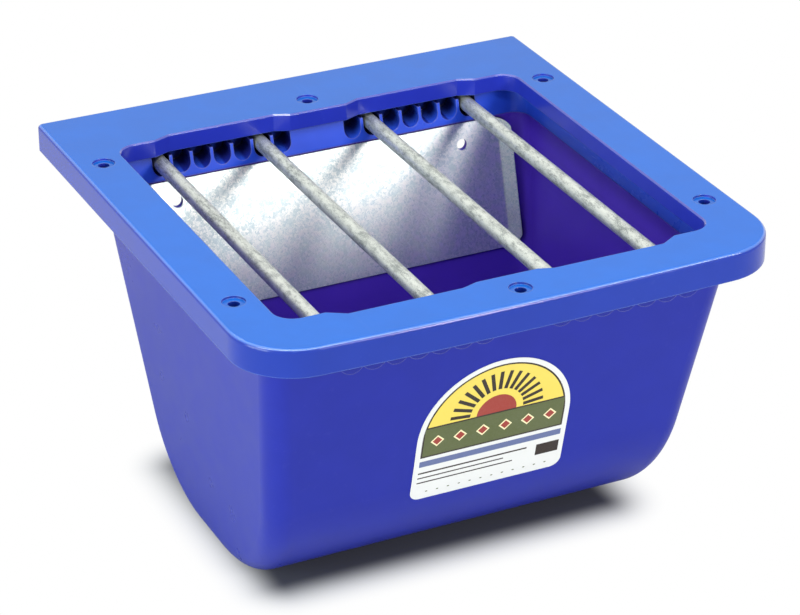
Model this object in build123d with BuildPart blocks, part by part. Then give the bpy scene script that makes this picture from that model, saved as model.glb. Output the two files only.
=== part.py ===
from build123d import *
from math import atan, cos, degrees, hypot, radians, sin
import os

# Foal feeder: a round-bottomed tub, a cover frame screwed down on it, four steel bars between the two,
# and a steel backing plate for the mounting bolts. Millimetres. +Z up, the front is -Y, +X to the right.
# Origin: on the ground, under the middle of the cover frame.

# Overall sizes
rim_width = 310.0
rim_depth = 321.0
height = 200.0
plate_thickness = 3.2      # top plate of the cover frame
skirt_depth = 16.0
skirt_thickness = 3.0
lip_depth = 10.5           # inner lip, from the top face down
lip_thickness = 3.0

# Cover frame outline
front_corner_radius = 36.0
back_corner_radius = 3.0
front_crown = 3.5          # how far the front edge bows out at the middle
top_edge_radius = 2.2
mouth_edge_chamfer = 0.8

# Mouth of the cover frame, an opening with stepped front and back edges
mouth_half_width = 126.2
mouth_back = 109.0
mouth_front = -124.5
mouth_corner_radius = 11.0
step_inner = (18.0, 27.0)  # distances from the middle where the step starts and ends
step_outer = (92.0, 102.0)
step_radius = 8.0
back_step = 3.9
front_step = 6.0
front_middle_step = 3.0

# Tub walls. A lean is the sideways run for each millimetre of height.
wall_thickness = 2.6
flange_thickness = 3.0
flange_clearance = 0.8     # between the flange's edge and the skirt
front_wall_top = -134.6
back_wall_top = 115.5
side_wall_top = 138.3
front_lean = 0.24
back_lean = 0.27
side_lean = 0.095
front_sweep_radius = 92.0  # the front wall's sweep into the base
back_sweep_radius = 64.0
tub_edge_radius = 13.0     # along both sides of the trough, from the front wall round to the back

# Bars and their pockets
bar_diameter = 8.8
bar_height = 183.5
bar_end_gap = 2.5
pocket_pitch = 12.61
pocket_count = 7           # in each group, left and right of the middle
pocket_first = 22.5        # from the middle to the first pocket's centre
pocket_width = 10.6
pocket_web_top = 187.4
pocket_floor = 176.6       # where a pocket opens into the tub
bar_seat_gap = 0.25        # under a bar's end, at the pocket's inner end, to which its floor rises
pocket_height = 12.0       # more than enough to open a pocket at the top
pocket_skin = 2.0
rim_split = 174.0          # just under the pockets: the trough's node below, the tub's rim node above
back_pocket_end = 126.5    # outside of the pockets behind the back wall
front_pocket_end = -148.5
bar_pockets = (1, 6)       # which pockets of a group hold a bar, counted from 0 at the middle

# Screws and the boss tubes that they sit in
screw_places = [
    (-139.4, 92.9), (139.4, 92.9), (-139.4, -93.9), (139.4, -93.9), (0.0, 125.2), (0.0, -143.6),
]
recess_diameter = 12.8
recess_depth = 1.4
boss_diameter = 12.0
boss_bore = 6.4
boss_floor = 2.2
clearance_hole = 3.9
screw_diameter = 3.5
screw_head_diameter = 6.0
screw_head_height = 2.2
screw_length = 5.2

# Backing plate
sheet_thickness = 1.0
sheet_top = 173.2
sheet_height = 80.0        # along the slope
sheet_half_width = 116.5   # to the bend lines
sheet_tab = 8.5            # beyond the bend lines
sheet_tab_angle = 40.0
sheet_bend_radius = 2.0
sheet_corner_radius = 10.0
mount_hole_spacing = 183.0
mount_hole_diameter = 7.0
mount_hole_drop = 12.5     # from the sheet's top edge

# Label, a panel with an arched top
label_thickness = 0.3
label_x = 1.5
label_width = 92.0
label_bottom = 61.0
label_top = 148.0
label_corner_radius = 6.0

# Worked out from the sizes above
frame_underside = height - plate_thickness
frame_bottom = height - skirt_depth
flange_top = height - lip_depth
flange_bottom = flange_top - flange_thickness
half_width = rim_width / 2
back_edge = rim_depth / 2
front_edge = -rim_depth / 2
front_angle = degrees(atan(front_lean))
back_angle = degrees(atan(back_lean))
side_slope = hypot(1.0, side_lean)
front_slope = hypot(1.0, front_lean)
back_slope = hypot(1.0, back_lean)
front_centre = front_wall_top + front_lean * (flange_top - front_sweep_radius) + front_sweep_radius * front_slope
back_centre = back_wall_top - back_lean * (flange_top - back_sweep_radius) - back_sweep_radius * back_slope
pocket_centres = [pocket_first + pocket_pitch * k for k in range(pocket_count)]
well_width = pocket_centres[-1] - pocket_centres[0] + pocket_width
well_centre = (pocket_centres[0] + pocket_centres[-1]) / 2
bar_places = [-pocket_centres[bar_pockets[1]], -pocket_centres[bar_pockets[0]],
              pocket_centres[bar_pockets[0]], pocket_centres[bar_pockets[1]]]
bar_seat = bar_height - bar_diameter / 2 - bar_seat_gap
bar_back = back_pocket_end - pocket_skin - bar_end_gap
bar_front = front_pocket_end + pocket_skin + bar_end_gap
screw_seat = flange_top + boss_floor
mount_hole_height = sheet_top - mount_hole_drop / back_slope

os.makedirs("parts", exist_ok=True)


def frame_outline(inset):
    """Face of the cover frame's plan outline, drawn in by inset."""
    front_side = front_edge + front_crown
    with BuildSketch(mode=Mode.PRIVATE) as outline:
        with BuildLine():
            Polyline((-half_width, front_side), (-half_width, back_edge), (half_width, back_edge),
                     (half_width, front_side))
            ThreePointArc((half_width, front_side), (0, front_edge), (-half_width, front_side))
        make_face()
        fillet(outline.vertices().group_by(Axis.Y)[0], front_corner_radius)
        fillet(outline.vertices().group_by(Axis.Y)[-1], back_corner_radius)
        if inset > 0:
            offset(amount=-inset, mode=Mode.REPLACE)
    return outline.sketch


def mouth_outline(outset):
    """Face of the mouth's outline, let out by outset."""
    back_half = [(0, mouth_back), (step_inner[0], mouth_back), (step_inner[1], mouth_back + back_step),
                 (step_outer[0], mouth_back + back_step), (step_outer[1], mouth_back),
                 (mouth_half_width, mouth_back)]
    front_half = [(mouth_half_width, mouth_front), (step_outer[1], mouth_front),
                  (step_outer[0], mouth_front - front_step), (step_inner[1], mouth_front - front_step),
                  (step_inner[0], mouth_front - front_middle_step), (0, mouth_front - front_middle_step)]
    right = back_half + front_half
    left = [(-x, y) for x, y in reversed(right[1:-1])]
    points = right + left
    with BuildSketch(mode=Mode.PRIVATE) as outline:
        with BuildLine():
            Polyline(*points, close=True)
        make_face()
        corners = outline.vertices().filter_by(lambda v: abs(v.X) > mouth_half_width - 1)
        steps = outline.vertices().filter_by(lambda v: 1 < abs(v.X) < mouth_half_width - 1)
        fillet(corners, mouth_corner_radius)
        fillet(steps, step_radius)
        if outset > 0:
            offset(amount=outset, mode=Mode.REPLACE)
    return outline.sketch


def trough(inset, top):
    """Solid of the trough's outside, drawn in by inset: round-bottomed from the side, tapered from the front."""
    front_top = front_wall_top + front_lean * (flange_top - top) + inset * front_slope
    back_top = back_wall_top - back_lean * (flange_top - top) - inset * back_slope
    side_top = side_wall_top - side_lean * (flange_top - top) - inset * side_slope
    side_base = side_top - side_lean * (top - inset)
    front_radius = front_sweep_radius - inset
    back_radius = back_sweep_radius - inset
    with BuildPart(mode=Mode.PRIVATE) as body:
        with BuildSketch(Plane.YZ):
            with BuildLine():
                front_sweep = CenterArc((front_centre, front_sweep_radius), front_radius,
                                        180 + front_angle, 90 - front_angle)
                back_sweep = CenterArc((back_centre, back_sweep_radius), back_radius, 270, 90 - back_angle)
                Line(front_sweep @ 1, back_sweep @ 0)
                Line(back_sweep @ 1, (back_top, top))
                Line((back_top, top), (front_top, top))
                Line((front_top, top), front_sweep @ 0)
            make_face()
        extrude(amount=rim_width, both=True)
        with BuildSketch(Plane.XZ):
            with BuildLine():
                Polyline((-side_base, inset), (-side_top, top), (side_top, top), (side_base, inset), close=True)
            make_face()
        extrude(amount=rim_depth, both=True, mode=Mode.INTERSECT)
        sides = body.edges().filter_by(lambda e: abs(e.center().X) > side_base - 1 and e.center().Z < top - 0.01)
        fillet(sides, tub_edge_radius - inset)
    return body.part


def inner_wall(side, z):
    """Y of the trough's inner face at height z, at the back (side 1) or the front (side -1)."""
    if side > 0:
        return back_wall_top - wall_thickness * back_slope - back_lean * (flange_top - z)
    return front_wall_top + wall_thickness * front_slope + front_lean * (flange_top - z)


def pocket_sections(width, top, floor):
    """U-shaped sections of all the pockets, open at the top."""
    radius = width / 2
    straight = top - floor - radius
    with BuildSketch(mode=Mode.PRIVATE) as sections:
        for side in (-1, 1):
            for centre in pocket_centres:
                with Locations((side * centre, floor + radius)):
                    Circle(radius)
                with Locations((side * centre, floor + radius + straight / 2)):
                    Rectangle(width, straight)
    return sections.sketch


def mount_hole_circles():
    """Circles of the two mounting holes, seen from the front."""
    with BuildSketch(mode=Mode.PRIVATE) as circles:
        with Locations((-mount_hole_spacing / 2, mount_hole_height), (mount_hole_spacing / 2, mount_hole_height)):
            Circle(mount_hole_diameter / 2)
    return circles.sketch


# Tub moulding: trough, flange, and behind each end wall two groups of U-shaped pockets for the bars' ends
with BuildPart() as moulding:
    add(trough(0, flange_top))
    with BuildSketch(Plane.XY.offset(flange_bottom)):
        add(frame_outline(skirt_thickness + flange_clearance))
    extrude(amount=flange_thickness)
    for side, end in ((1, back_pocket_end), (-1, front_pocket_end)):
        with BuildSketch(Plane.XZ.offset(-end)):
            add(pocket_sections(pocket_width + 2 * pocket_skin, flange_bottom, pocket_floor - pocket_skin))
        extrude(amount=end - inner_wall(side, pocket_floor))
    add(trough(wall_thickness, flange_top + 1), mode=Mode.SUBTRACT)
    for side, end in ((1, back_pocket_end), (-1, front_pocket_end)):
        opening = inner_wall(side, pocket_floor)
        inner_end = end - side * pocket_skin
        depth = abs(inner_end - opening)
        rise = bar_seat - pocket_floor
        tilted = Plane(origin=(0, opening, pocket_floor), x_dir=(1, 0, 0), z_dir=(0, -depth, -side * rise))
        with BuildSketch(tilted):
            add(pocket_sections(pocket_width, pocket_height, 0))
        extrude(amount=-side * hypot(depth, rise), mode=Mode.SUBTRACT)
        with BuildSketch(Plane.XY.offset(pocket_web_top)):
            with Locations((-well_centre, (opening + inner_end) / 2), (well_centre, (opening + inner_end) / 2)):
                Rectangle(well_width, depth)
        extrude(amount=flange_top - pocket_web_top, mode=Mode.SUBTRACT)
    with BuildSketch(Plane.XY.offset(flange_top)):
        with Locations(*screw_places):
            Circle(screw_diameter / 2)
    extrude(amount=-flange_thickness, mode=Mode.SUBTRACT)
    with BuildSketch(Plane.XZ.offset(-back_edge)):
        add(mount_hole_circles())
    extrude(amount=back_edge, mode=Mode.SUBTRACT)

# The moulding in two nodes that meet under the pockets, so that each has a plain hollow
with BuildPart() as tub:
    add(moulding.part)
    split(bisect_by=Plane.XY.offset(rim_split), keep=Keep.BOTTOM)
tub.part.label = "tub"
export_step(tub.part, "parts/tub.step")

with BuildPart() as tub_rim:
    add(moulding.part)
    split(bisect_by=Plane.XY.offset(rim_split), keep=Keep.TOP)
tub_rim.part.label = "tub_rim"
export_step(tub_rim.part, "parts/tub_rim.step")

# Cover frame: flat top plate with a skirt outside, a lip round the mouth and six boss tubes underneath
with BuildPart() as top_frame:
    with BuildSketch(Plane.XY.offset(frame_bottom)):
        add(frame_outline(0))
    extrude(amount=skirt_depth)
    fillet(top_frame.faces().sort_by(Axis.Z)[-1].edges(), top_edge_radius)
    with BuildSketch(Plane.XY.offset(frame_bottom)):
        add(frame_outline(skirt_thickness))
    extrude(amount=frame_underside - frame_bottom, mode=Mode.SUBTRACT)
    with BuildSketch(Plane.XY.offset(flange_top)):
        add(mouth_outline(lip_thickness))
        with Locations(*screw_places):
            Circle(boss_diameter / 2)
    extrude(amount=frame_underside - flange_top)
    with BuildSketch(Plane.XY.offset(flange_top)):
        add(mouth_outline(0))
    extrude(amount=lip_depth, mode=Mode.SUBTRACT)
    chamfer(top_frame.faces().sort_by(Axis.Z)[-1].inner_wires()[0].edges(), mouth_edge_chamfer)
    with BuildSketch(Plane.XY.offset(height)):
        with Locations(*screw_places):
            Circle(recess_diameter / 2)
    extrude(amount=-recess_depth, mode=Mode.SUBTRACT)
    with Locations(*[(x, y, height) for x, y in screw_places]):
        CounterBoreHole(clearance_hole / 2, boss_bore / 2, height - screw_seat, lip_depth)
top_frame.part.label = "top_frame"
export_step(top_frame.part, "parts/top_frame.step")

# Steel bars, loose between the tub's pockets and the cover frame's lip
for number, x in enumerate(bar_places, 1):
    with BuildPart() as bar:
        with BuildSketch(Plane.XZ.offset(-bar_back)):
            with Locations((x, bar_height)):
                Circle(bar_diameter / 2)
        extrude(amount=bar_back - bar_front)
    bar.part.label = f"bar_{number}"
    export_step(bar.part, f"parts/bar_{number}.step")

# Steel backing plate on the back wall's inner face, its two sides bent forward clear of the tub's corners
sheet_origin = (0, inner_wall(1, sheet_top), sheet_top)
sheet_face = Plane(origin=sheet_origin, x_dir=(1, 0, 0), z_dir=(0, -1, back_lean))
sheet_section = Plane(origin=sheet_origin, x_dir=(1, 0, 0), z_dir=(0, -back_lean, -1))
sheet_edge = sheet_half_width + sheet_tab * cos(radians(sheet_tab_angle))
sheet_tab_rise = sheet_tab * sin(radians(sheet_tab_angle))
with BuildPart() as backing_plate:
    with BuildSketch(sheet_section):
        with BuildLine():
            FilletPolyline((-sheet_edge, sheet_tab_rise), (-sheet_half_width, 0), (sheet_half_width, 0),
                           (sheet_edge, sheet_tab_rise), radius=sheet_bend_radius + sheet_thickness)
            offset(amount=sheet_thickness, side=Side.LEFT)
        make_face()
    extrude(amount=sheet_height)
    with BuildSketch(sheet_face):
        with Locations((0, -sheet_height / 2)):
            RectangleRounded(2 * sheet_edge, sheet_height, sheet_corner_radius)
    extrude(amount=2 * sheet_tab, mode=Mode.INTERSECT)
    with BuildSketch(Plane.XZ.offset(-back_edge)):
        add(mount_hole_circles())
    extrude(amount=back_edge, mode=Mode.SUBTRACT)
backing_plate.part.label = "backing_plate"
export_step(backing_plate.part, "parts/backing_plate.step")

# Screws, sunk in the boss tubes
for number, (x, y) in enumerate(screw_places, 1):
    with BuildPart() as frame_screw:
        with BuildSketch(Plane.XY.offset(screw_seat)):
            with Locations((x, y)):
                Circle(screw_head_diameter / 2)
        extrude(amount=screw_head_height)
        with BuildSketch(Plane.XY.offset(screw_seat)):
            with Locations((x, y)):
                Circle(screw_diameter / 2)
        extrude(amount=-screw_length)
    frame_screw.part.label = f"frame_screw_{number}"
    export_step(frame_screw.part, f"parts/frame_screw_{number}.step")

# Label, following the front wall down into its sweep
with BuildPart() as front_label:
    add(trough(-label_thickness, flange_top))
    add(trough(0, flange_top), mode=Mode.SUBTRACT)
    with BuildSketch(Plane.XZ) as panel:
        left = label_x - label_width / 2
        right = label_x + label_width / 2
        spring = label_top - label_width / 2
        with BuildLine():
            Polyline((left, spring), (left, label_bottom), (right, label_bottom), (right, spring))
            ThreePointArc((right, spring), (label_x, label_top), (left, spring))
        make_face()
        fillet(panel.vertices().group_by(Axis.Y)[0], label_corner_radius)
    extrude(amount=rim_depth, mode=Mode.INTERSECT)
front_label.part.label = "front_label"
export_step(front_label.part, "parts/front_label.step")
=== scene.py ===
"""Foal feeder: finishes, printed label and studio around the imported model, in metres and in the model's frame."""

from __future__ import annotations

import logging
import math
from dataclasses import dataclass
from enum import Enum

import bmesh
import bpy
from mathutils import Matrix, Vector
from mathutils.bvhtree import BVHTree

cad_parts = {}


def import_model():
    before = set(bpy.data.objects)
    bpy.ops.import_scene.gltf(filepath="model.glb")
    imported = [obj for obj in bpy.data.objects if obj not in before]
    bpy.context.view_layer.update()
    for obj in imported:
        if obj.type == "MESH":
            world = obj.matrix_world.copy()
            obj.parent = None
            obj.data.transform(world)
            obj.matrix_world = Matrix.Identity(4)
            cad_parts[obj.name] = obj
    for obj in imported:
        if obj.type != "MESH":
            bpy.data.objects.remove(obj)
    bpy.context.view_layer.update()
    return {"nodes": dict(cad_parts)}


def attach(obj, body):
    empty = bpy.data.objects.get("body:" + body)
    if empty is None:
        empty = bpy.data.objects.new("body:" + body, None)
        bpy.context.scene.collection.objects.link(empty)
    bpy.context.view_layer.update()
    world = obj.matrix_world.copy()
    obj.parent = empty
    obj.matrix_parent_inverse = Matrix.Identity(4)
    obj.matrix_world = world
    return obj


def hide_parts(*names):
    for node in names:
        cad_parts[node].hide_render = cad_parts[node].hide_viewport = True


LOG = logging.getLogger("foal_feeder")
MM = 0.001
NOISE_CORE = (0.3, 0.7)    # most of a noise's values lie between these

Colour = tuple[float, float, float, float]
Point = tuple[float, float]


def srgb(red: float, green: float, blue: float) -> Colour:
    """Turns display values from 0 to 255 into a linear colour.

    Args:
        red: Red as displayed.
        green: Green as displayed.
        blue: Blue as displayed.

    Returns:
        The linear colour with full alpha.
    """
    def linear(value: float) -> float:
        share = value / 255
        return share / 12.92 if share <= 0.04045 else ((share + 0.055) / 1.055) ** 2.4

    return linear(red), linear(green), linear(blue), 1.0


WHITE = (1.0, 1.0, 1.0, 1.0)
# Painted shade for narrow hollows.
HOLLOW_PAINTED_SHADE = srgb(12, 8, 26)
BRIGHT_ZINC = srgb(225, 226, 228)
BARE_FILM = srgb(236, 236, 232)


class Socket(Enum):
    """Kinds of socket on a node group."""

    FLOAT = "NodeSocketFloat"
    INTEGER = "NodeSocketInt"
    COLOUR = "NodeSocketColor"
    VECTOR = "NodeSocketVector"
    GEOMETRY = "NodeSocketGeometry"
    MATERIAL = "NodeSocketMaterial"


class Sheet:
    """A node tree, with short ways to add nodes and join sockets."""

    def __init__(self, tree: bpy.types.NodeTree) -> None:
        """Keeps the tree."""
        self.tree = tree

    def add(self, kind: str, **settings: object) -> bpy.types.Node:
        """Adds a node of a type, with its properties set, and returns it."""
        node = self.tree.nodes.new(kind)
        for name, value in settings.items():
            setattr(node, name, value)
        return node

    def join(self, source: bpy.types.NodeSocket, target: bpy.types.NodeSocket) -> None:
        """Joins an output to an input."""
        self.tree.links.new(source, target)

    def math(self, operation: str, first: object, second: object = 0.0) -> bpy.types.NodeSocket:
        """Adds a Math node on sockets or numbers, and returns its output socket."""
        node = self.add("ShaderNodeMath", operation=operation)
        for socket, value in zip(node.inputs, (first, second)):
            self.put(value, socket)
        return node.outputs[0]

    def put(self, value: object, socket: bpy.types.NodeSocket) -> None:
        """Joins a socket, or sets a plain value, on an input."""
        if isinstance(value, bpy.types.NodeSocket):
            self.join(value, socket)
        else:
            socket.default_value = value

    def span(self, value: object, low: float, high: float, to_low: float = 0.0,
             to_high: float = 1.0) -> bpy.types.NodeSocket:
        """Maps a range of values smoothly onto another.

        Args:
            value: The socket to map.
            low: Lowest value of the source range.
            high: Highest value of the source range.
            to_low: What low becomes.
            to_high: What high becomes.

        Returns:
            The mapped value's socket.
        """
        node = self.add("ShaderNodeMapRange", interpolation_type="SMOOTHSTEP")
        self.put(value, node.inputs["Value"])
        for name, number in (("From Min", low), ("From Max", high), ("To Min", to_low), ("To Max", to_high)):
            node.inputs[name].default_value = number
        return node.outputs["Result"]

    def blend(self, share: object, first: object, second: object, mode: str = "MIX") -> bpy.types.NodeSocket:
        """Mixes two colours.

        Args:
            share: How much of the second colour there is, from 0 to 1.
            first: First colour or socket.
            second: Second colour or socket.
            mode: The way to mix.

        Returns:
            The mixed colour's socket.
        """
        node = self.add("ShaderNodeMix", data_type="RGBA", blend_type=mode)
        self.put(share, node.inputs["Factor"])
        self.put(first, node.inputs[6])
        self.put(second, node.inputs[7])
        return node.outputs[2]

    def noise(self, place: bpy.types.NodeSocket, scale: object, detail: float = 3.0,
              roughness: float = 0.5) -> bpy.types.NodeSocket:
        """Adds a noise texture.

        Args:
            place: The coordinate to read.
            scale: Features in each metre, as a socket or a number.
            detail: Octaves of finer noise.
            roughness: Strength of the finer octaves.

        Returns:
            The noise's value.
        """
        node = self.add("ShaderNodeTexNoise")
        self.join(place, node.inputs["Vector"])
        self.put(scale, node.inputs["Scale"])
        node.inputs["Detail"].default_value = detail
        node.inputs["Roughness"].default_value = roughness
        return node.outputs["Fac"]


def shader_group(name: str, inputs: dict[str, Socket], outputs: dict[str, Socket]
                 ) -> tuple[bpy.types.NodeTree, Sheet, bpy.types.Node, bpy.types.Node]:
    """Starts a shader node group.

    Args:
        name: The group's name.
        inputs: Input names and kinds.
        outputs: Output names and kinds.

    Returns:
        The tree, its sheet, and its input and output nodes.
    """
    tree = bpy.data.node_groups.new(name, "ShaderNodeTree")
    for label, kind in inputs.items():
        tree.interface.new_socket(label, in_out="INPUT", socket_type=kind.value)
    for label, kind in outputs.items():
        tree.interface.new_socket(label, in_out="OUTPUT", socket_type=kind.value)
    sheet = Sheet(tree)
    return tree, sheet, sheet.add("NodeGroupInput"), sheet.add("NodeGroupOutput")


class Effects:
    """Shader groups that several finishes share, each built once."""

    def __init__(self) -> None:
        """Builds the groups."""
        self.handling = self.build_handling()
        self.cloud = self.build_cloud()
        self.relief = self.build_relief()
        self.hollow = self.build_hollow()

    def build_handling(self) -> bpy.types.NodeTree:
        """Fine crossed rub marks from handling.

        Returns:
            The group, with a mask of the marks.
        """
        tree, sheet, source, result = shader_group(
            "handling marks", {"Scale": Socket.FLOAT, "Cover": Socket.FLOAT}, {"Mask": Socket.FLOAT})
        place = sheet.add("ShaderNodeTexCoord").outputs["Object"]
        masks = []
        for turn in (0.35, 1.35):
            mapping = sheet.add("ShaderNodeMapping")
            sheet.join(place, mapping.inputs["Vector"])
            mapping.inputs["Rotation"].default_value = (turn, turn * 0.7, turn * 1.3)
            mapping.inputs["Scale"].default_value = (1.0, 0.04, 1.0)
            streaks = sheet.noise(mapping.outputs["Vector"], source.outputs["Scale"], 2.0)
            masks.append(sheet.span(streaks, 0.66, 0.74))
        patch = sheet.span(sheet.noise(place, 14.0), 0.45, 0.65)
        lines = sheet.math("MAXIMUM", masks[0], masks[1])
        local = sheet.math("MULTIPLY", lines, patch)
        sheet.join(sheet.math("MULTIPLY", local, source.outputs["Cover"]), result.inputs["Mask"])
        return tree

    def build_cloud(self) -> bpy.types.NodeTree:
        """Slow drift of a tone over a surface.

        Returns:
            The group, with a value around 0.5.
        """
        tree, sheet, source, result = shader_group(
            "slow drift", {"Scale": Socket.FLOAT, "Fine Scale": Socket.FLOAT}, {"Value": Socket.FLOAT})
        place = sheet.add("ShaderNodeTexCoord").outputs["Object"]
        coarse, fine = (sheet.noise(place, source.outputs[name], 4.0) for name in ("Scale", "Fine Scale"))
        total = sheet.math("ADD", coarse, fine)
        sheet.join(sheet.math("MULTIPLY", total, 0.5), result.inputs["Value"])
        return tree

    def build_relief(self) -> bpy.types.NodeTree:
        """Moulded edges: how far the surface turns within a small radius, and its normal rounded over that radius.

        Returns:
            The group, with a mask of the edges and a normal.
        """
        tree, sheet, source, result = shader_group(
            "moulded edges", {"Radius": Socket.FLOAT}, {"Edge": Socket.FLOAT, "Normal": Socket.VECTOR})
        bevel = sheet.add("ShaderNodeBevel", samples=6)
        sheet.join(source.outputs["Radius"], bevel.inputs["Radius"])
        straight = sheet.add("ShaderNodeNewGeometry")
        turn = sheet.add("ShaderNodeVectorMath", operation="DOT_PRODUCT")
        sheet.join(bevel.outputs["Normal"], turn.inputs[0])
        sheet.join(straight.outputs["Normal"], turn.inputs[1])
        sheet.join(sheet.span(turn.outputs["Value"], 0.985, 0.86), result.inputs["Edge"])
        sheet.join(bevel.outputs["Normal"], result.inputs["Normal"])
        return tree

    def build_hollow(self) -> bpy.types.NodeTree:
        """Painted shade in narrow hollows, where little light gets in.

        Returns:
            The group, with a mask that is 1 deep inside them.
        """
        tree, sheet, source, result = shader_group(
            "narrow hollows", {"Reach": Socket.FLOAT, "Open": Socket.FLOAT, "Closed": Socket.FLOAT},
            {"Mask": Socket.FLOAT})
        open_share = sheet.add("ShaderNodeAmbientOcclusion", samples=8)
        sheet.join(source.outputs["Reach"], open_share.inputs["Distance"])
        depth = sheet.math("DIVIDE", sheet.math("SUBTRACT", source.outputs["Open"], open_share.outputs["AO"]),
                           sheet.math("SUBTRACT", source.outputs["Open"], source.outputs["Closed"]))
        depth.node.use_clamp = True
        sheet.join(depth, result.inputs["Mask"])
        return tree


def use_group(sheet: Sheet, tree: bpy.types.NodeTree, **values: float) -> bpy.types.Node:
    """Places a shader group, with input values named with underscores for spaces, and returns its node."""
    node = sheet.add("ShaderNodeGroup", node_tree=tree)
    for name, value in values.items():
        node.inputs[name.replace("_", " ")].default_value = value
    return node


def new_material(name: str) -> tuple[bpy.types.Material, Sheet, bpy.types.Node]:
    """Starts a material.

    Args:
        name: The material's name.

    Returns:
        The material, its sheet and its Principled BSDF.
    """
    material = bpy.data.materials.new(name)
    material.use_nodes = True
    sheet = Sheet(material.node_tree)
    return material, sheet, material.node_tree.nodes["Principled BSDF"]


def add_bump(sheet: Sheet, shader: bpy.types.Node, height: bpy.types.NodeSocket, distance: float,
             strength: float, normal: bpy.types.NodeSocket | None = None) -> None:
    """Joins a height to a shader's normal.

    Args:
        sheet: The material's sheet.
        shader: Its Principled BSDF.
        height: Height from 0 to 1.
        distance: Real height of 1, in metres.
        strength: How much of it shows.
        normal: The normal under the bumps, where it isn't the mesh's own.
    """
    bump = sheet.add("ShaderNodeBump")
    if normal is not None:
        sheet.join(normal, bump.inputs["Normal"])
    bump.inputs["Distance"].default_value = distance
    bump.inputs["Strength"].default_value = strength
    sheet.join(height, bump.inputs["Height"])
    sheet.join(bump.outputs["Normal"], shader.inputs["Normal"])


@dataclass(frozen=True)
class Polyethylene:
    """Moulded polyethylene: deep on upright walls, with painted light and shade in its colour: a tone of its own where
    it faces up, and another on faces turned to the tub's middle.

    Its sharp edges are painted paler as a highlight. Handling polishes the rounded edges round its top. The middle and
    all lengths are in metres.
    """

    name: str
    wall: Colour
    top_painted_tone: Colour
    inner: Colour
    roughness: float
    specular: float
    middle: tuple[float, float, float] = (0.0, -0.015, 0.12)
    edge_radius: float = 0.0006
    edge_highlight_share: float = 0.3
    hollow_shade_share: float = 0.0
    hollow_reach: float = 0.012
    hollow_open: float = 0.72
    hollow_closed: float = 0.30
    hollow_inside: bool = False
    polish: float = 0.0

    def build(self, effects: Effects) -> bpy.types.Material:
        """Makes the material.

        Args:
            effects: Shared shader groups.

        Returns:
            The material.
        """
        material, sheet, shader = new_material(self.name)
        coordinates = sheet.add("ShaderNodeTexCoord")
        place = coordinates.outputs["Object"]
        drift = use_group(sheet, effects.cloud, Scale=6.0, Fine_Scale=55.0).outputs["Value"]
        marks = use_group(sheet, effects.handling, Scale=210.0, Cover=0.16).outputs["Mask"]
        relief = use_group(sheet, effects.relief, Radius=self.edge_radius)
        axes = sheet.add("ShaderNodeSeparateXYZ")
        sheet.join(coordinates.outputs["Normal"], axes.inputs["Vector"])
        facing = axes.outputs["Z"]
        # Painted light and shade: faces that look up take their own tone, lighter where light falls from above, and on
        # the rim darker as painted shade on the pocket floors.
        colour = sheet.blend(sheet.span(facing, 0.45, 0.95), self.wall, self.top_painted_tone)
        # Painted light and shade: faces turned to the tub's middle take their own tone, purple in the trough for the
        # shaded inside and a clearer blue on the rim and cover for their lit inner band.
        inward = self.faces_in(sheet, coordinates)
        colour = sheet.blend(inward, colour, self.inner)
        shade = sheet.span(drift, *NOISE_CORE, 0.95, 1.05)
        tint = sheet.add("ShaderNodeCombineColor")
        for channel in tint.inputs:
            sheet.join(shade, channel)
        colour = sheet.blend(1.0, colour, tint.outputs["Color"], "MULTIPLY")
        # Painted highlight: sharp edges blend to a paler tone as thin light lines; the handling marks pale it as real
        # wear.
        pale_wear_and_highlight = sheet.blend(0.15, self.top_painted_tone, WHITE)
        worn = sheet.math("ADD", sheet.math("MULTIPLY", marks, 0.15),
                          sheet.math("MULTIPLY", relief.outputs["Edge"], self.edge_highlight_share))
        colour = sheet.blend(worn, colour, pale_wear_and_highlight)
        # Painted shade: pockets, holes and tight joints are darkened by an occlusion mask.
        if self.hollow_shade_share:
            depth = use_group(sheet, effects.hollow, Reach=self.hollow_reach, Open=self.hollow_open,
                              Closed=self.hollow_closed).outputs["Mask"]
            if self.hollow_inside:
                depth = sheet.math("MULTIPLY", depth, inward)
            colour = sheet.blend(sheet.math("MULTIPLY", depth, self.hollow_shade_share), colour, HOLLOW_PAINTED_SHADE)
        sheet.join(colour, shader.inputs["Base Color"])
        rough = sheet.span(drift, *NOISE_CORE, self.roughness - 0.03, self.roughness + 0.04)
        sheet.join(sheet.math("ADD", rough, sheet.math("MULTIPLY", marks, 0.15)), shader.inputs["Roughness"])
        shader.inputs["Specular IOR Level"].default_value = self.specular
        if self.polish:
            shader.inputs["Coat IOR"].default_value = 1.9
            shader.inputs["Coat Roughness"].default_value = 0.12
            rounding = sheet.math("MULTIPLY", sheet.span(facing, 0.50, 0.66), sheet.span(facing, 0.98, 0.92))
            sheet.join(sheet.math("MULTIPLY", rounding, self.polish), shader.inputs["Coat Weight"])
        grain = sheet.noise(place, 1100.0, 2.0)
        height = sheet.math("ADD", sheet.math("MULTIPLY", drift, 0.85), sheet.math("MULTIPLY", grain, 0.15))
        add_bump(sheet, shader, height, 0.0005, 0.06, relief.outputs["Normal"])
        return material

    def faces_in(self, sheet: Sheet, coordinates: bpy.types.Node) -> bpy.types.NodeSocket:
        """Finds where the surface faces the tub's middle, from the material's Texture Coordinate node.

        Returns:
            A mask, 1 on the inner faces.
        """
        out = sheet.add("ShaderNodeVectorMath", operation="SUBTRACT")
        sheet.join(coordinates.outputs["Object"], out.inputs[0])
        out.inputs[1].default_value = self.middle
        along = sheet.add("ShaderNodeVectorMath", operation="DOT_PRODUCT")
        sheet.join(out.outputs["Vector"], along.inputs[0])
        sheet.join(coordinates.outputs["Normal"], along.inputs[1])
        return sheet.span(along.outputs["Value"], 0.0, -0.02)


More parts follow.
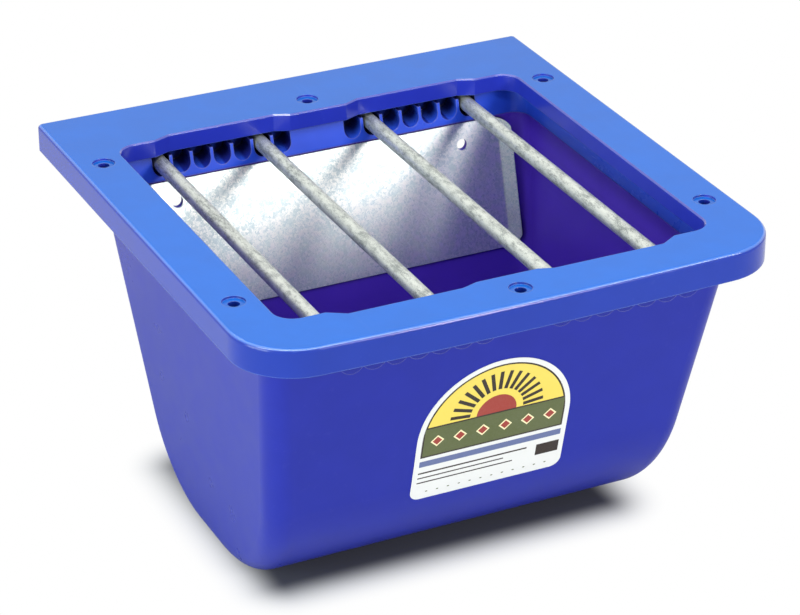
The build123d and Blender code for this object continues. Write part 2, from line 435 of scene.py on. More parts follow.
@dataclass(frozen=True)
class GalvanisedBar:
    """Hot-dipped bar: a dull zinc coat, mottled in fine streaks along the bar."""

    name: str
    pale: Colour
    dark: Colour
    roughness: float = 0.44

    def build(self, effects: Effects) -> bpy.types.Material:
        """Makes the material.

        Args:
            effects: Shared shader groups.

        Returns:
            The material.
        """
        material, sheet, shader = new_material(self.name)
        place = sheet.add("ShaderNodeTexCoord").outputs["Object"]
        along = sheet.add("ShaderNodeMapping")
        sheet.join(place, along.inputs["Vector"])
        along.inputs["Scale"].default_value = (1.0, 0.3, 1.0)
        streaks = sheet.noise(along.outputs["Vector"], 520.0, 5.0, 0.7)
        specks = sheet.noise(place, 1500.0, 3.0, 0.6)
        blots = sheet.noise(place, 60.0, 3.0)
        mottle = sheet.math("ADD", sheet.math("MULTIPLY", streaks, 0.5), sheet.math("MULTIPLY", specks, 0.3))
        mottle = sheet.math("ADD", mottle, sheet.math("MULTIPLY", blots, 0.2))
        colour = sheet.blend(sheet.span(mottle, 0.38, 0.56), self.dark, self.pale)
        marks = use_group(sheet, effects.handling, Scale=700.0, Cover=0.8).outputs["Mask"]
        sheet.join(sheet.blend(sheet.math("MULTIPLY", marks, 0.25), colour, self.dark), shader.inputs["Base Color"])
        shader.inputs["Metallic"].default_value = 0.75
        sheet.join(sheet.span(mottle, 0.35, 0.65, self.roughness + 0.08, self.roughness - 0.05),
                   shader.inputs["Roughness"])
        add_bump(sheet, shader, mottle, 0.0002, 0.25)
        return material


@dataclass(frozen=True)
class SpangledSheet:
    """Galvanised sheet: small zinc crystals, each with its own tone and gloss."""

    name: str
    pale: Colour
    dark: Colour
    crystal: float = 0.0024
    roughness: float = 0.36

    def build(self, effects: Effects) -> bpy.types.Material:
        """Makes the material.

        Args:
            effects: Shared shader groups.

        Returns:
            The material.
        """
        material, sheet, shader = new_material(self.name)
        place = sheet.add("ShaderNodeTexCoord").outputs["Object"]
        warp = sheet.add("ShaderNodeTexNoise")
        sheet.join(place, warp.inputs["Vector"])
        warp.inputs["Scale"].default_value = 420.0
        warp.inputs["Detail"].default_value = 3.0
        shift = sheet.add("ShaderNodeVectorMath", operation="SCALE")
        sheet.join(warp.outputs["Color"], shift.inputs[0])
        shift.inputs["Scale"].default_value = self.crystal * 2.2
        moved = sheet.add("ShaderNodeVectorMath", operation="ADD")
        sheet.join(place, moved.inputs[0])
        sheet.join(shift.outputs["Vector"], moved.inputs[1])
        tones = []
        for share in (1.0, 0.4):
            cells = sheet.add("ShaderNodeTexVoronoi", feature="F1")
            sheet.join(moved.outputs["Vector"], cells.inputs["Vector"])
            cells.inputs["Scale"].default_value = 1.0 / (self.crystal * share)
            grey = sheet.add("ShaderNodeRGBToBW")
            sheet.join(cells.outputs["Color"], grey.inputs["Color"])
            tones.append(grey.outputs["Val"])
        tone = sheet.math("ADD", sheet.math("MULTIPLY", tones[0], 0.5), sheet.math("MULTIPLY", tones[1], 0.5))
        drift = use_group(sheet, effects.cloud, Scale=22.0, Fine_Scale=140.0).outputs["Value"]
        tone = sheet.math("ADD", sheet.math("MULTIPLY", tone, 0.7), sheet.math("MULTIPLY", drift, 0.3))
        colour = sheet.blend(sheet.span(tone, *NOISE_CORE), self.dark, self.pale)
        marks = use_group(sheet, effects.handling, Scale=600.0, Cover=0.5).outputs["Mask"]
        sheet.join(sheet.blend(sheet.math("MULTIPLY", marks, 0.3), colour, self.pale), shader.inputs["Base Color"])
        shader.inputs["Metallic"].default_value = 0.85
        sheet.join(sheet.span(tone, *NOISE_CORE, self.roughness + 0.10, self.roughness - 0.06),
                   shader.inputs["Roughness"])
        add_bump(sheet, shader, tone, 0.0001, 0.25)
        return material


@dataclass(frozen=True)
class PlatedScrew:
    """Bright zinc-plated steel."""

    name: str
    colour: Colour

    def build(self, effects: Effects) -> bpy.types.Material:
        """Makes the material.

        Args:
            effects: Shared shader groups.

        Returns:
            The material.
        """
        material, sheet, shader = new_material(self.name)
        drift = use_group(sheet, effects.cloud, Scale=600.0, Fine_Scale=2400.0).outputs["Value"]
        sheet.join(sheet.blend(sheet.span(drift, *NOISE_CORE), self.colour, BRIGHT_ZINC),
                   shader.inputs["Base Color"])
        shader.inputs["Metallic"].default_value = 1.0
        sheet.join(sheet.span(drift, *NOISE_CORE, 0.28, 0.42), shader.inputs["Roughness"])
        return material


@dataclass(frozen=True)
class PrintedFilm:
    """Label film, or one ink printed on it."""

    name: str
    colour: Colour
    roughness: float = 0.40
    fade: float = 0.02

    def build(self, effects: Effects) -> bpy.types.Material:
        """Makes the material.

        Args:
            effects: Shared shader groups.

        Returns:
            The material.
        """
        material, sheet, shader = new_material(self.name)
        drift = use_group(sheet, effects.cloud, Scale=40.0, Fine_Scale=900.0).outputs["Value"]
        marks = use_group(sheet, effects.handling, Scale=500.0, Cover=0.3).outputs["Mask"]
        worn = sheet.math("ADD", sheet.span(drift, 0.35, 0.65, 0.0, self.fade),
                          sheet.math("MULTIPLY", marks, 0.05))
        sheet.join(sheet.blend(worn, self.colour, BARE_FILM), shader.inputs["Base Color"])
        shader.inputs["Specular IOR Level"].default_value = 0.3
        sheet.join(sheet.span(drift, *NOISE_CORE, self.roughness - 0.05, self.roughness + 0.07),
                   shader.inputs["Roughness"])
        return material


class Ink(Enum):
    """Inks of the label's print, with their colours."""

    YELLOW = srgb(226, 202, 86)
    BROWN = srgb(40, 28, 18)
    OLIVE = srgb(84, 92, 50)
    RED = srgb(150, 52, 40)
    CREAM = srgb(238, 226, 180)
    BLUE = srgb(92, 104, 146)


def wear(nodes: dict[str, bpy.types.Object], names: tuple[str, ...], material: bpy.types.Material) -> None:
    """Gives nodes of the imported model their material.

    Args:
        nodes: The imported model's nodes.
        names: Which of them to dress.
        material: The material.
    """
    for name in names:
        for slot in nodes[name].material_slots:
            slot.material = material
        LOG.info("%s: %s", name, material.name)


class Repeat:
    """Geometry node trees for what repeats, each with named inputs."""

    def __init__(self, name: str, inputs: dict[str, Socket]) -> None:
        """Starts a tree.

        Args:
            name: The tree's name.
            inputs: Its inputs beside the geometry.
        """
        self.tree = bpy.data.node_groups.new(name, "GeometryNodeTree")
        self.tree.interface.new_socket("Geometry", in_out="INPUT", socket_type=Socket.GEOMETRY.value)
        self.tree.interface.new_socket("Geometry", in_out="OUTPUT", socket_type=Socket.GEOMETRY.value)
        for label, kind in {**inputs, "Finish": Socket.MATERIAL}.items():
            self.tree.interface.new_socket(label, in_out="INPUT", socket_type=kind.value)
        self.sheet = Sheet(self.tree)
        self.source = self.sheet.add("NodeGroupInput")
        self.result = self.sheet.add("NodeGroupOutput")

    def end(self, instances: bpy.types.NodeSocket) -> bpy.types.NodeTree:
        """Ends the tree in real geometry with its finish, and returns it."""
        real = self.sheet.add("GeometryNodeRealizeInstances")
        self.sheet.join(instances, real.inputs["Geometry"])
        finish = self.sheet.add("GeometryNodeSetMaterial")
        self.sheet.join(real.outputs["Geometry"], finish.inputs["Geometry"])
        self.sheet.join(self.source.outputs["Finish"], finish.inputs["Material"])
        self.sheet.join(finish.outputs["Geometry"], self.result.inputs["Geometry"])
        return self.tree


def grown_mesh(name: str, start: bpy.types.Mesh, tree: bpy.types.NodeTree, values: dict[str, object]
               ) -> bpy.types.Mesh:
    """Runs a tree on a mesh.

    Args:
        name: Name of the new mesh.
        start: The mesh that the tree gets.
        tree: The geometry node tree.
        values: Values of its named inputs.

    Returns:
        A plain mesh of the result.
    """
    helper = bpy.data.objects.new(name + "_helper", start)
    bpy.context.scene.collection.objects.link(helper)
    modifier = helper.modifiers.new("repeat", "NODES")
    modifier.node_group = tree
    for item in tree.interface.items_tree:
        if item.item_type == "SOCKET" and item.in_out == "INPUT" and item.name in values:
            modifier[item.identifier] = values[item.name]
    helper.update_tag()
    view = bpy.context.evaluated_depsgraph_get()
    mesh = bpy.data.meshes.new_from_object(helper.evaluated_get(view), depsgraph=view)
    mesh.name = name
    helper.modifiers.remove(modifier)
    bpy.data.objects.remove(helper)
    return mesh


def place_piece(name: str, mesh: bpy.types.Mesh) -> bpy.types.Object:
    """Puts a finished mesh in the scene as a piece of the feeder.

    Args:
        name: The piece's name.
        mesh: Its mesh.

    Returns:
        The piece.
    """
    piece = bpy.data.objects.new(name, mesh)
    bpy.context.scene.collection.objects.link(piece)
    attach(piece, "feeder")
    LOG.info("%s: %d faces", name, len(mesh.polygons))
    return piece


@dataclass
class Tub:
    """The tub moulding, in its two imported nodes."""

    trough: Polyethylene = Polyethylene(
        "blue trough", wall=srgb(34, 43, 146), top_painted_tone=srgb(60, 58, 178), inner=srgb(78, 49, 184),
        roughness=0.30, specular=0.12, edge_radius=0.0015, edge_highlight_share=0.15, hollow_shade_share=0.95,
        hollow_reach=0.004, hollow_open=0.92, hollow_closed=0.66, hollow_inside=True)
    # The rim's top tone is darker than its wall: painted shade on the floors of the bar pockets.
    rim: Polyethylene = Polyethylene(
        "blue rim", wall=srgb(33, 42, 140), top_painted_tone=srgb(30, 44, 150), inner=srgb(42, 80, 212),
        roughness=0.26, specular=0.20, middle=(0.0, -0.01, 0.18), edge_radius=0.0009, edge_highlight_share=0.75,
        hollow_shade_share=0.92)

    def build(self, nodes: dict[str, bpy.types.Object], effects: Effects) -> None:
        """Dresses the tub."""
        wear(nodes, ("tub",), self.trough.build(effects))
        wear(nodes, ("tub_rim",), self.rim.build(effects))


@dataclass
class Dressed:
    """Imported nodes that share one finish."""

    nodes: tuple[str, ...]
    finish: Polyethylene | GalvanisedBar | SpangledSheet

    def build(self, nodes: dict[str, bpy.types.Object], effects: Effects) -> None:
        """Dresses the nodes."""
        wear(nodes, self.nodes, self.finish.build(effects))


@dataclass
class CoverFrame(Dressed):
    """The cover frame round the mouth."""

    nodes: tuple[str, ...] = ("top_frame",)
    finish: Polyethylene = Polyethylene(
        "blue cover frame", wall=srgb(18, 48, 150), top_painted_tone=srgb(12, 106, 211), inner=srgb(40, 54, 176),
        roughness=0.20, specular=0.36, middle=(0.0, -0.01, 0.186), edge_radius=0.0010, edge_highlight_share=0.5, polish=1.0)


@dataclass
class BarSet(Dressed):
    """The four loose bars."""

    nodes: tuple[str, ...] = ("bar_1", "bar_2", "bar_3", "bar_4")
    finish: GalvanisedBar = GalvanisedBar("galvanised bar", srgb(218, 222, 214), srgb(140, 146, 143))


@dataclass
class BackingPlate(Dressed):
    """The bent steel sheet on the back wall."""

    nodes: tuple[str, ...] = ("backing_plate",)
    finish: SpangledSheet = SpangledSheet("spangled sheet", srgb(248, 248, 236), srgb(188, 203, 200))


@dataclass
class ScrewSet:
    """Six screws with crossed drives, sunk in the cover frame. Sizes in millimetres."""

    places: tuple[tuple[float, float], ...] = (
        (-139.4, 92.9), (139.4, 92.9), (-139.4, -93.9), (139.4, -93.9), (0.0, 125.2), (0.0, -143.6))
    seat: float = 191.7
    head: float = 6.0
    head_height: float = 2.2
    shank: float = 3.5
    length: float = 5.2
    drive: float = 3.4
    drive_width: float = 0.8
    drive_depth: float = 0.9
    steps: int = 32
    finish: PlatedScrew = PlatedScrew("plated screw", srgb(150, 152, 158))

    def build(self, effects: Effects) -> None:
        """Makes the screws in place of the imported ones."""
        points = bpy.data.meshes.new("screw_places")
        points.from_pydata([(x * MM, y * MM, self.seat * MM) for x, y in self.places], [], [])
        screw = bpy.data.objects.new("one_screw", self.screw_mesh())
        bpy.context.scene.collection.objects.link(screw)
        mesh = grown_mesh("cover_screws", points, self.tree(screw), {
            "Seed": 7, "Finish": self.finish.build(effects)})
        bpy.data.objects.remove(screw)
        piece = place_piece("cover_screws", mesh)
        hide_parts(*[f"frame_screw_{number}" for number in range(1, 7)])

    def ring(self, mesh: bmesh.types.BMesh, radius: float, height: float) -> list[bmesh.types.BMVert]:
        """Adds a circle of points at a height over the seat, and returns them."""
        turn = 2 * math.pi / self.steps
        return [mesh.verts.new((radius * MM * math.cos(k * turn), radius * MM * math.sin(k * turn), height * MM))
                for k in range(self.steps)]

    def cross(self, mesh: bmesh.types.BMesh, height: float, share: float) -> list[bmesh.types.BMVert]:
        """Adds the outline of the crossed drive.

        Args:
            mesh: The screw's mesh.
            height: Its height over the seat.
            share: Its length, as a share of the full length.

        Returns:
            The points.
        """
        long, half = self.drive / 2 * share * MM, self.drive_width / 2 * MM
        arm = [(long, -half), (long, half), (half, half)]
        points = []
        for quarter in range(4):
            cosine, sine = math.cos(quarter * math.pi / 2), math.sin(quarter * math.pi / 2)
            points += [mesh.verts.new((x * cosine - y * sine, x * sine + y * cosine, height * MM)) for x, y in arm]
        return points

    def screw_mesh(self) -> bpy.types.Mesh:
        """Makes one screw, standing on its seat, and returns its mesh."""
        mesh = bmesh.new()
        radius, top = self.head / 2, self.head_height
        profile = [(self.shank / 2 - 0.5, -self.length), (self.shank / 2, -self.length + 0.7), (self.shank / 2, 0.0),
                   (radius - 0.1, 0.0), (radius, 0.1), (radius, top - 0.9), (radius - 0.25, top - 0.4),
                   (radius - 0.7, top - 0.08), (radius - 1.0, top)]
        rings = [self.ring(mesh, reach, height) for reach, height in profile]
        mesh.faces.new(list(reversed(rings[0])))
        for low, high in zip(rings, rings[1:]):
            for k in range(self.steps):
                after = (k + 1) % self.steps
                mesh.faces.new((low[k], low[after], high[after], high[k]))
        upper, lower = self.cross(mesh, top, 1.0), self.cross(mesh, top - self.drive_depth, 0.75)
        for k in range(len(upper)):
            after = (k + 1) % len(upper)
            mesh.faces.new((lower[k], lower[after], upper[after], upper[k]))
        mesh.faces.new(lower)
        edges = []
        for loop in (rings[-1], upper):
            edges += [mesh.edges.get((loop[k], loop[(k + 1) % len(loop)])) for k in range(len(loop))]
        bmesh.ops.triangle_fill(mesh, edges=edges, use_beauty=True, use_dissolve=False, normal=(0, 0, 1))
        bmesh.ops.recalc_face_normals(mesh, faces=mesh.faces)
        result = bpy.data.meshes.new("one_screw")
        mesh.to_mesh(result)
        mesh.free()
        return result

    def tree(self, screw: bpy.types.Object) -> bpy.types.NodeTree:
        """Builds the tree that stands a screw on each point, each turned its own way.

        Args:
            screw: The screw to repeat.

        Returns:
            The tree.
        """
        repeat = Repeat("screws on points", {"Seed": Socket.INTEGER})
        sheet, source = repeat.sheet, repeat.source
        item = sheet.add("GeometryNodeObjectInfo")
        item.inputs["Object"].default_value = screw
        turn = sheet.add("FunctionNodeRandomValue", data_type="FLOAT_VECTOR")
        turn.inputs["Min"].default_value = (0.0, 0.0, 0.0)
        turn.inputs["Max"].default_value = (0.0, 0.0, math.pi / 2)
        sheet.join(source.outputs["Seed"], turn.inputs["Seed"])
        spread = sheet.add("GeometryNodeInstanceOnPoints")
        sheet.join(source.outputs["Geometry"], spread.inputs["Points"])
        sheet.join(item.outputs["Geometry"], spread.inputs["Instance"])
        sheet.join(turn.outputs["Value"], spread.inputs["Rotation"])
        return repeat.end(spread.outputs["Instances"])


@dataclass
class FrontLabel:
    """The front label's film, and a plain print of rays, diamonds and grain on it. Sizes in millimetres.

    Heights are from the ground. Below curve_top, where the wall bends, a layer is cut into narrow strips to follow it.
    """

    node: str = "front_label"
    middle: float = 1.5
    width: float = 92.0
    bottom: float = 61.0
    top: float = 148.0
    border: float = 3.0
    outline: float = 1.0
    field_bottom: float = 91.0
    sky_bottom: float = 112.0
    sun: float = 12.0
    ray_count: int = 15
    ray_start: float = 16.0
    ray_length: float = 12.0
    ray_width: float = 2.2
    diamond_count: int = 6
    diamond_pitch: float = 13.6
    stripe: Point = (84.5, 88.5)
    grain_count: int = 12
    grain_pitch: float = 6.6
    grain_height: float = 66.0
    curve_top: float = 76.0
    strip: float = 2.0
    ink_thickness: float = 0.04
    film: PrintedFilm = PrintedFilm("label film", srgb(220, 220, 217))
    surface: BVHTree | None = None

    def build(self, nodes: dict[str, bpy.types.Object], effects: Effects) -> None:
        """Dresses the film and prints on it."""
        wear(nodes, (self.node,), self.film.build(effects))
        mesh = nodes[self.node].data
        self.surface = BVHTree.FromPolygons([tuple(v.co) for v in mesh.vertices],
                                            [tuple(p.vertices) for p in mesh.polygons])
        inks = {ink: PrintedFilm(f"{ink.name.lower()} ink", ink.value).build(effects) for ink in Ink}
        spring = self.top - self.width / 2
        reach = self.width / 2 - self.border
        inner = reach - self.outline
        line = self.outline
        self.lay("label_outline", Ink.BROWN, inks, 1, [self.arch(reach, spring, self.field_bottom)])
        self.lay("label_sky", Ink.YELLOW, inks, 2, [self.arch(inner, spring, self.sky_bottom)])
        self.lay("label_field", Ink.OLIVE, inks, 2,
                 [self.box(-inner, self.field_bottom + line, inner, self.sky_bottom - line)])
        self.lay("label_sun", Ink.RED, inks, 3, [self.half_disc(self.sun, self.sky_bottom)])
        self.lay("label_stripe", Ink.BLUE, inks, 1, [self.box(-reach, self.stripe[0], reach, self.stripe[1])])
        rays = self.fan(inks[Ink.BROWN], self.ray_count, self.ray_start, self.ray_length, self.ray_width)
        self.lay("label_rays", Ink.BROWN, inks, 3, self.outlines(rays, self.sky_bottom))
        middle = (self.field_bottom + self.sky_bottom) / 2
        for name, ink, size, level in (("label_frames", Ink.CREAM, 8.2, 3), ("label_diamonds", Ink.RED, 5.8, 4)):
            row = self.row(inks[ink], self.diamond_count, 4, self.diamond_pitch, size, size * 0.95)
            self.lay(name, ink, inks, level, self.outlines(row, middle))
        dots = self.row(inks[Ink.OLIVE], self.grain_count, 16, self.grain_pitch, 1.5, 0.8)
        self.lay("label_grain", Ink.OLIVE, inks, 1, self.outlines(dots, self.grain_height))
        lines = [self.box(-reach, 79.5, reach - 20.0, 80.5), self.box(-reach, 76.2, reach - 34.0, 77.0),
                 self.box(-reach, 72.8, reach - 28.0, 73.6), self.box(reach - 14.0, 72.8, reach, 80.5)]
        self.lay("label_lines", Ink.BROWN, inks, 1, lines)

    def box(self, left: float, low: float, right: float, high: float) -> list[Point]:
        """Outlines a rectangle."""
        return [(left, low), (right, low), (right, high), (left, high)]

    def arch(self, reach: float, spring: float, low: float) -> list[Point]:
        """Outlines a panel with an arched top.

        Args:
            reach: Half its width, and its arch's radius.
            spring: Height of the arch's centre.
            low: Height of its lower edge.

        Returns:
            The outline's points, anticlockwise from the lower left.
        """
        curve = [(reach * math.cos(k * math.pi / 48), spring + reach * math.sin(k * math.pi / 48))
                 for k in range(49)]
        if low > spring:
            half = math.sqrt(reach ** 2 - (low - spring) ** 2)
            return [(-half, low), (half, low)] + [point for point in curve if point[1] > low + 0.2]
        return [(-reach, low), (reach, low)] + curve

    def half_disc(self, radius: float, low: float) -> list[Point]:
        """Outlines the upper half of a disc, over its flat edge."""
        return [(radius * math.cos(k * math.pi / 24), low + radius * math.sin(k * math.pi / 24)) for k in range(25)]

    def row(self, finish: bpy.types.Material, count: int, sides: int, pitch: float, width: float,
            height: float) -> bpy.types.Mesh:
        """Repeats a many-sided shape in a row, centred on the origin.

        Args:
            finish: The ink.
            count: How many there are.
            sides: Sides of the shape.
            pitch: From one to the next.
            width: The shape's width.
            height: The shape's height.

        Returns:
            The flat mesh.
        """
        repeat = Repeat("row of shapes", {"Count": Socket.INTEGER, "Sides": Socket.INTEGER, "Pitch": Socket.FLOAT,
                                          "Size": Socket.VECTOR})
        sheet, source = repeat.sheet, repeat.source
        line = sheet.add("GeometryNodeMeshLine", mode="OFFSET")
        sheet.join(source.outputs["Count"], line.inputs["Count"])
        step = sheet.add("ShaderNodeCombineXYZ")
        sheet.join(source.outputs["Pitch"], step.inputs["X"])
        sheet.join(step.outputs["Vector"], line.inputs["Offset"])
        shape = sheet.add("GeometryNodeMeshCircle", fill_type="NGON")
        sheet.join(source.outputs["Sides"], shape.inputs["Vertices"])
        shape.inputs["Radius"].default_value = 0.5
        spread = sheet.add("GeometryNodeInstanceOnPoints")
        sheet.join(line.outputs["Mesh"], spread.inputs["Points"])
        sheet.join(shape.outputs["Mesh"], spread.inputs["Instance"])
        sheet.join(source.outputs["Size"], spread.inputs["Scale"])
        values = {"Count": count, "Sides": sides, "Pitch": pitch, "Size": (width, height, 1.0), "Finish": finish}
        mesh = grown_mesh("row", bpy.data.meshes.new("row_start"), repeat.end(spread.outputs["Instances"]), values)
        mesh.transform(Matrix.Translation((-(count - 1) * pitch / 2, 0.0, 0.0)))
        return mesh

    def fan(self, finish: bpy.types.Material, count: int, inner: float, length: float, width: float
            ) -> bpy.types.Mesh:
        """Repeats a stroke over half a turn.

        Args:
            finish: The ink.
            count: How many there are.
            inner: From the centre to where they start.
            length: Their length.
            width: Their width.

        Returns:
            The flat mesh.
        """
        repeat = Repeat("fan of strokes", {"Count": Socket.INTEGER, "Inner": Socket.FLOAT, "Length": Socket.FLOAT,
                                           "Width": Socket.FLOAT})
        sheet, source = repeat.sheet, repeat.source
        line = sheet.add("GeometryNodeMeshLine", mode="OFFSET")
        sheet.join(source.outputs["Count"], line.inputs["Count"])
        line.inputs["Offset"].default_value = (0.0, 0.0, 0.0)
        flat = sheet.add("GeometryNodeMeshGrid")
        sheet.join(source.outputs["Length"], flat.inputs["Size X"])
        sheet.join(source.outputs["Width"], flat.inputs["Size Y"])
        flat.inputs["Vertices X"].default_value = 2
        flat.inputs["Vertices Y"].default_value = 2
        out = sheet.add("ShaderNodeCombineXYZ")
        sheet.join(sheet.math("ADD", source.outputs["Inner"],
                              sheet.math("MULTIPLY", source.outputs["Length"], 0.5)), out.inputs["X"])
        moved = sheet.add("GeometryNodeTransform")
        sheet.join(flat.outputs["Mesh"], moved.inputs["Geometry"])
        sheet.join(out.outputs["Vector"], moved.inputs["Translation"])
        angle = sheet.math("DIVIDE", sheet.math("ADD", sheet.add("GeometryNodeInputIndex").outputs[0], 0.5),
                           source.outputs["Count"])
        turn = sheet.add("ShaderNodeCombineXYZ")
        sheet.join(sheet.math("MULTIPLY", angle, math.pi), turn.inputs["Z"])
        spread = sheet.add("GeometryNodeInstanceOnPoints")
        sheet.join(line.outputs["Mesh"], spread.inputs["Points"])
        sheet.join(moved.outputs["Geometry"], spread.inputs["Instance"])
        sheet.join(turn.outputs["Vector"], spread.inputs["Rotation"])
        values = {"Count": count, "Inner": inner, "Length": length, "Width": width, "Finish": finish}
        return grown_mesh("fan", bpy.data.meshes.new("fan_start"), repeat.end(spread.outputs["Instances"]), values)

    def outlines(self, mesh: bpy.types.Mesh, up: float) -> list[list[Point]]:
        """Reads the outlines of a flat mesh's faces, moved up."""
        return [[(mesh.vertices[k].co.x, mesh.vertices[k].co.y + up) for k in face.vertices]
                for face in mesh.polygons]

    def lay(self, name: str, ink: Ink, inks: dict[Ink, bpy.types.Material], level: int,
            shapes: list[list[Point]]) -> None:
        """Lays shapes of one ink on the film, as a layer that follows its curve.

        Args:
            name: The piece's name.
            ink: The ink.
            inks: Every ink's material.
            level: Its layer over the film, from 1.
            shapes: Outlines, from the label's middle and the ground.
        """
        layer = bmesh.new()
        for shape in shapes:
            layer.faces.new([layer.verts.new(((self.middle + x) * MM, 0.0, z * MM)) for x, z in shape])
        height = self.bottom
        while height < self.curve_top:
            height += self.strip
            bmesh.ops.bisect_plane(layer, geom=[*layer.verts, *layer.edges, *layer.faces],
                                   plane_co=(0, 0, height * MM), plane_no=(0, 0, 1))
        bmesh.ops.triangulate(layer, faces=layer.faces)
        bmesh.ops.recalc_face_normals(layer, faces=layer.faces)
        if sum(face.normal.y for face in layer.faces) > 0:
            bmesh.ops.reverse_faces(layer, faces=layer.faces)
        grown = bmesh.ops.extrude_face_region(layer, geom=list(layer.faces), use_keep_orig=True)
        front = {item for item in grown["geom"] if isinstance(item, bmesh.types.BMVert)}
        for vertex in layer.verts:
            hit, normal, _, _ = self.surface.ray_cast(Vector((vertex.co.x, -1.0, vertex.co.z)), Vector((0, 1, 0)))
            lift = (level if vertex in front else level - 1) * self.ink_thickness * MM
            vertex.co = hit + Vector((0.0, -lift, 0.0))
        bmesh.ops.recalc_face_normals(layer, faces=layer.faces)
        mesh = bpy.data.meshes.new(name)
        layer.to_mesh(mesh)
        layer.free()
        mesh.materials.append(inks[ink])
        place_piece(name, mesh)


@dataclass(frozen=True)
class Lamp:
    """A softbox, square unless its height is given."""

    name: str
    place: tuple[float, float, float]
    target: tuple[float, float, float]
    size: float
    power: float
    height: float | None = None
    colour: tuple[float, float, float] = (1.0, 1.0, 1.0)


@dataclass(frozen=True)
class Shade:
    """A place on the floor that keeps its real shadow and gets a painted shadow: a box with a soft edge."""

    middle: tuple[float, float]
    half: tuple[float, float]
    fade: float

    def distance(self, sheet: Sheet, axes: bpy.types.Node) -> bpy.types.NodeSocket:
        """Measures how far a point of the floor lies from the box.

        Args:
            sheet: The floor material's sheet.
            axes: The node that parts the point's coordinates.

        Returns:
            The distance in metres, 0 inside the box.
        """
        beyond = sheet.add("ShaderNodeCombineXYZ")
        for axis, middle, half in zip("XY", self.middle, self.half):
            away = sheet.math("ABSOLUTE", sheet.math("SUBTRACT", axes.outputs[axis], middle))
            sheet.join(sheet.math("MAXIMUM", sheet.math("SUBTRACT", away, half), 0.0), beyond.inputs[axis])
        length = sheet.add("ShaderNodeVectorMath", operation="LENGTH")
        sheet.join(beyond.outputs["Vector"], length.inputs[0])
        return length.outputs["Value"]


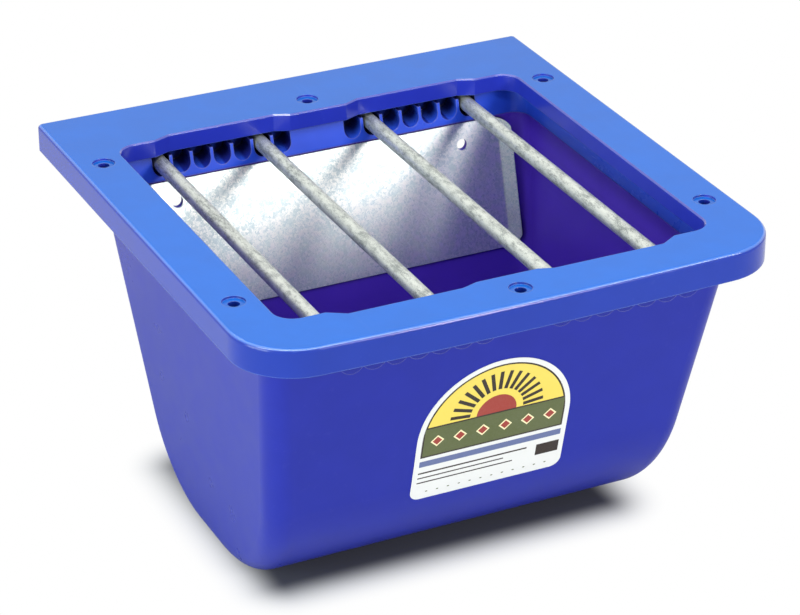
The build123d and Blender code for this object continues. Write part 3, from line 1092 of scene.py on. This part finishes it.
@dataclass
class Studio:
    """White floor, soft light and the camera."""

    camera_place: tuple[float, float, float] = (-0.65891, -1.36902, 0.91282)
    camera_target: tuple[float, float, float] = (-0.06576, -0.13684, 0.2)
    lens: float = 136.36
    ambient: float = 0.33
    floor_reach: float = 6.0
    floor_colour: Colour = (0.95, 0.95, 0.95, 1.0)
    # Painted shadow: the floor's colour inside the shade box.
    painted_shadow_colour: Colour = (0.09, 0.09, 0.115, 1.0)
    shade: Shade = Shade((0.0, 0.01), (0.10, 0.07), 0.04)
    mirrored_white: tuple[float, float] = (0.15, 0.4)
    lamps: tuple[Lamp, ...] = (
        Lamp("overhead softbox", (-0.20, 0.40, 1.5), (0.0, 0.0, 0.15), 1.2, 4.0),
        Lamp("low key", (0.50, -1.34, 0.66), (0.0, 0.1, 0.14), 0.18, 12.0, 0.36),
        Lamp("side softbox", (-1.45, -0.35, 0.38), (0.0, -0.05, 0.12), 0.9, 21.5, colour=(0.82, 1.0, 0.96)),
        Lamp("edge strip", (-0.02, -0.50, 1.38), (0.10, -0.10, 0.20), 2.8, 12.0, 0.12),
    )

    def build(self) -> None:
        """Makes the camera, the lamps, the world and the floor."""
        self.build_camera()
        for lamp in self.lamps:
            self.build_lamp(lamp)
        self.build_world()
        self.build_floor()

    def aim(self, item: bpy.types.Object, place: tuple[float, float, float],
            target: tuple[float, float, float]) -> None:
        """Places an object and turns it towards a point."""
        item.location = place
        direction = Vector(target) - Vector(place)
        item.rotation_euler = direction.to_track_quat("-Z", "Y").to_euler()

    def build_camera(self) -> None:
        """Makes the camera at the photograph's angle."""
        lens = bpy.data.cameras.new("camera")
        lens.lens = self.lens
        lens.sensor_fit = "HORIZONTAL"
        lens.sensor_width = 36.0
        lens.clip_start = 0.05
        camera = bpy.data.objects.new("camera", lens)
        bpy.context.scene.collection.objects.link(camera)
        self.aim(camera, self.camera_place, self.camera_target)
        bpy.context.scene.camera = camera

    def build_lamp(self, lamp: Lamp) -> None:
        """Makes a softbox."""
        light = bpy.data.lights.new(lamp.name, "AREA")
        light.shape = "RECTANGLE"
        light.size = lamp.size
        light.size_y = lamp.height or lamp.size
        light.energy = lamp.power
        light.color = lamp.colour
        item = bpy.data.objects.new(lamp.name, light)
        bpy.context.scene.collection.objects.link(item)
        self.aim(item, lamp.place, lamp.target)

    def build_world(self) -> None:
        """Makes a world that shows white, and lights the object more softly than it shows."""
        world = bpy.data.worlds.new("studio")
        world.use_nodes = True
        bpy.context.scene.world = world
        sheet = Sheet(world.node_tree)
        background = world.node_tree.nodes["Background"]
        background.inputs["Color"].default_value = WHITE
        rays = sheet.add("ShaderNodeLightPath")
        seen = sheet.math("MAXIMUM", rays.outputs["Is Camera Ray"], rays.outputs["Is Glossy Ray"])
        seen = sheet.math("MAXIMUM", seen, rays.outputs["Is Transmission Ray"])
        strength = sheet.math("MULTIPLY_ADD", seen, 1.0 - self.ambient)
        strength.node.inputs[2].default_value = self.ambient
        sheet.join(strength, background.inputs["Strength"])

    def build_floor(self) -> None:
        """Makes the floor: near the object it holds the real shadow over a painted shadow, a darker floor colour, and
        runs out to plain white around it.
        """
        mesh = bpy.data.meshes.new("floor")
        reach = self.floor_reach
        mesh.from_pydata([(-reach, -reach, 0), (reach, -reach, 0), (reach, reach, 0), (-reach, reach, 0)], [],
                         [(0, 1, 2, 3)])
        floor = bpy.data.objects.new("floor", mesh)
        bpy.context.scene.collection.objects.link(floor)
        material, sheet, shader = new_material("floor")
        shader.inputs["Roughness"].default_value = 0.9
        shader.inputs["Specular IOR Level"].default_value = 0.0
        white = sheet.add("ShaderNodeEmission")
        place = sheet.add("ShaderNodeTexCoord").outputs["Object"]
        axes = sheet.add("ShaderNodeSeparateXYZ")
        sheet.join(place, axes.inputs["Vector"])
        near = self.shade.distance(sheet, axes)
        far = sheet.span(near, 0.0, self.shade.fade)
        # Painted shadow: the floor colour goes dark inside the shade box, under the real shadow.
        sheet.join(sheet.blend(far, self.painted_shadow_colour, self.floor_colour), shader.inputs["Base Color"])
        rays = sheet.add("ShaderNodeLightPath")
        seen = sheet.math("MULTIPLY", far, rays.outputs["Is Camera Ray"])
        mirrored = sheet.math("MULTIPLY", sheet.span(near, *self.mirrored_white), rays.outputs["Is Glossy Ray"])
        mix = sheet.add("ShaderNodeMixShader")
        sheet.join(sheet.math("MAXIMUM", seen, mirrored), mix.inputs["Fac"])
        sheet.join(shader.outputs["BSDF"], mix.inputs[1])
        sheet.join(white.outputs["Emission"], mix.inputs[2])
        sheet.join(mix.outputs["Shader"], material.node_tree.nodes["Material Output"].inputs["Surface"])
        mesh.materials.append(material)


def main() -> None:
    """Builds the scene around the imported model."""
    logging.basicConfig(level=logging.INFO, format="%(name)s: %(message)s")
    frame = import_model()
    bpy.context.scene.view_settings.view_transform = "Standard"
    effects = Effects()
    nodes = frame["nodes"]
    for part in (Tub(), CoverFrame(), BarSet(), BackingPlate(), FrontLabel()):
        part.build(nodes, effects)
    ScrewSet().build(effects)
    Studio().build()


if __name__ == "__main__":
    main()
